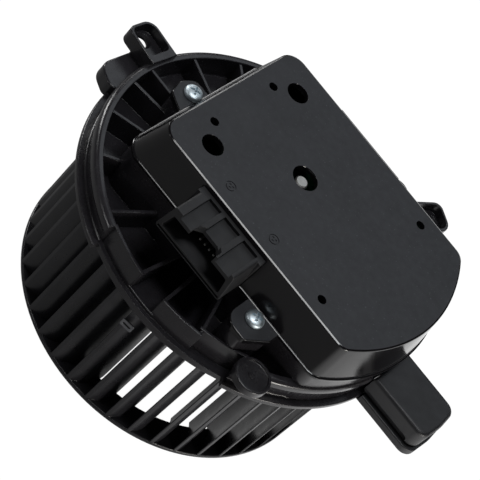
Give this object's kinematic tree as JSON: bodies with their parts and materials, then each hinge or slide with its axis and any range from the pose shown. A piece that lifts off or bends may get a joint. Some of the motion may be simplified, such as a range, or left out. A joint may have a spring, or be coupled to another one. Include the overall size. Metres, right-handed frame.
{
  "type": "blower motor wheel",
  "caption": "Car heater blower: brushless motor in a round mounting flange, with a forward-curved fan wheel, electronics cover, connector socket and cooling duct.",
  "frame": {"origin": "on the surface the wheel's inlet rim stands on, under the middle of the overall box", "axes": "+Z along the fan axis towards the electronics cover, +X towards the cooling duct, -Y towards the connector"},
  "size_m": [0.214, 0.171, 0.1088],
  "materials": {
    "satin_plastic": "satin black moulded plastic",
    "cover_plastic": "charcoal plastic, matte top, glossy sides",
    "matte_plastic": "matte black moulded plastic",
    "cast_aluminium": "cast",
    "steel": "ground",
    "zinc": "zinc plated",
    "brass": "turned",
    "copper": "enamelled copper wire, packed",
    "tin": "tinned copper alloy",
    "lamination_steel": "stacked sheet",
    "ferrite": "sintered, dull",
    "nylon": "natural white",
    "board": "lacquered board",
    "chip_plastic": "moulded",
    "can": "sleeved can"
  },
  "bodies": {
    "housing": {"mounting_flange": "satin_plastic", "stator_carrier": "cast_aluminium", "bearing_lower": "steel", "bearing_upper": "steel", "stator_core": "lamination_steel", "insulator_upper": "nylon", "insulator_lower": "nylon", "winding_1": "copper", "winding_2": "copper", "winding_3": "copper", "winding_4": "copper", "winding_5": "copper", "winding_6": "copper", "winding_7": "copper", "winding_8": "copper", "winding_9": "copper", "carrier_screw_1": "zinc", "carrier_screw_2": "zinc", "carrier_screw_3": "zinc", "circuit_board": "board", "board_screw_1": "zinc", "board_screw_2": "zinc", "board_screw_3": "zinc", "board_screw_4": "zinc", "capacitor_1": "can", "capacitor_2": "can", "choke_core": "ferrite", "power_transistor_1": "chip_plastic", "power_transistor_2": "chip_plastic", "power_transistor_3": "chip_plastic", "power_transistor_4": "chip_plastic", "power_transistor_5": "chip_plastic", "power_transistor_6": "chip_plastic", "control_chip": "chip_plastic", "connector_housing": "matte_plastic", "signal_pin_1": "tin", "signal_pin_2": "tin", "signal_pin_3": "tin", "signal_pin_4": "tin", "power_terminal_1": "tin", "power_terminal_2": "tin", "electronics_cover": "cover_plastic", "cover_screw_1": "zinc", "cover_screw_2": "zinc", "cover_screw_3": "zinc", "duct_cover": "matte_plastic", "duct_tray": "matte_plastic"},
    "wheel": {"fan_wheel": "satin_plastic", "fan_hub": "satin_plastic", "hub_bush": "brass", "rotor_shaft": "steel", "rotor_bell": "zinc", "magnet_ring": "ferrite", "shaft_lock_ring": "steel", "shaft_circlip": "steel", "balance_clip": "zinc"}
  },
  "joints": [
    {"name": "wheel_spin", "type": "hinge", "parent": "housing", "child": "wheel", "pos_m": [-0.00843, -0.0046, 0.069], "axis": [0, 0, 1], "continuous": true}
  ]
}
